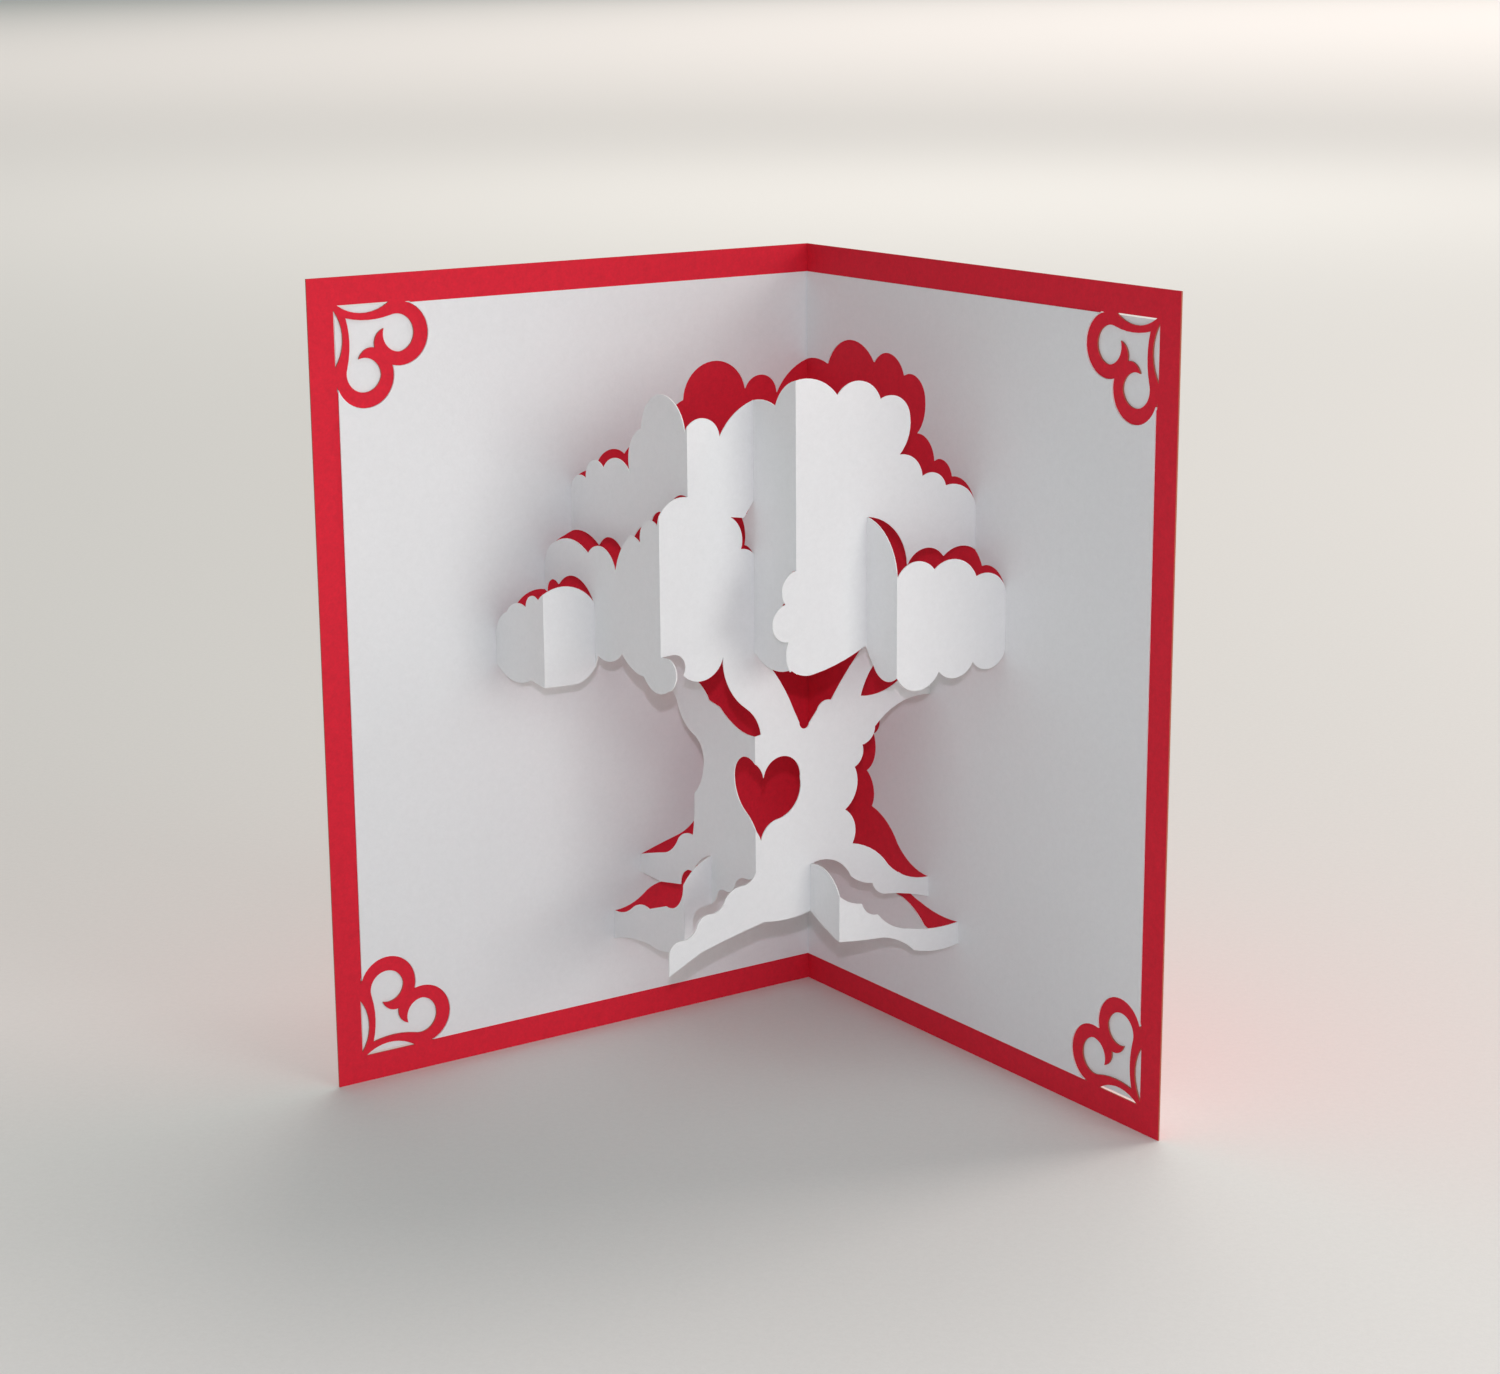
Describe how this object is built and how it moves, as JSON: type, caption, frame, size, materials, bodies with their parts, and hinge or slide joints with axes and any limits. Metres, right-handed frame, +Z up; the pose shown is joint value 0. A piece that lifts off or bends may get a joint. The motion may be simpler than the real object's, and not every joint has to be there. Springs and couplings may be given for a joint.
{
  "type": "pop-up greeting card",
  "caption": "Pop-up greeting card that stands open at a right angle: a folded card cover, and a white insert held by heart-shaped corner cuts, with a tree cut and folded out of it.",
  "frame": {"origin": "middle of the card's box, on the surface that it stands on", "axes": "+Z up the centre fold, -Y the way that the open pages face, +X to the right for someone looking into the card"},
  "size_m": [0.1798, 0.0902, 0.1778],
  "materials": {
    "cover_cardstock": "matte",
    "insert_paper": "matte"
  },
  "bodies": {
    "root": {"cover_card": "cover_cardstock", "popup_insert": "insert_paper"}
  },
  "joints": []
}
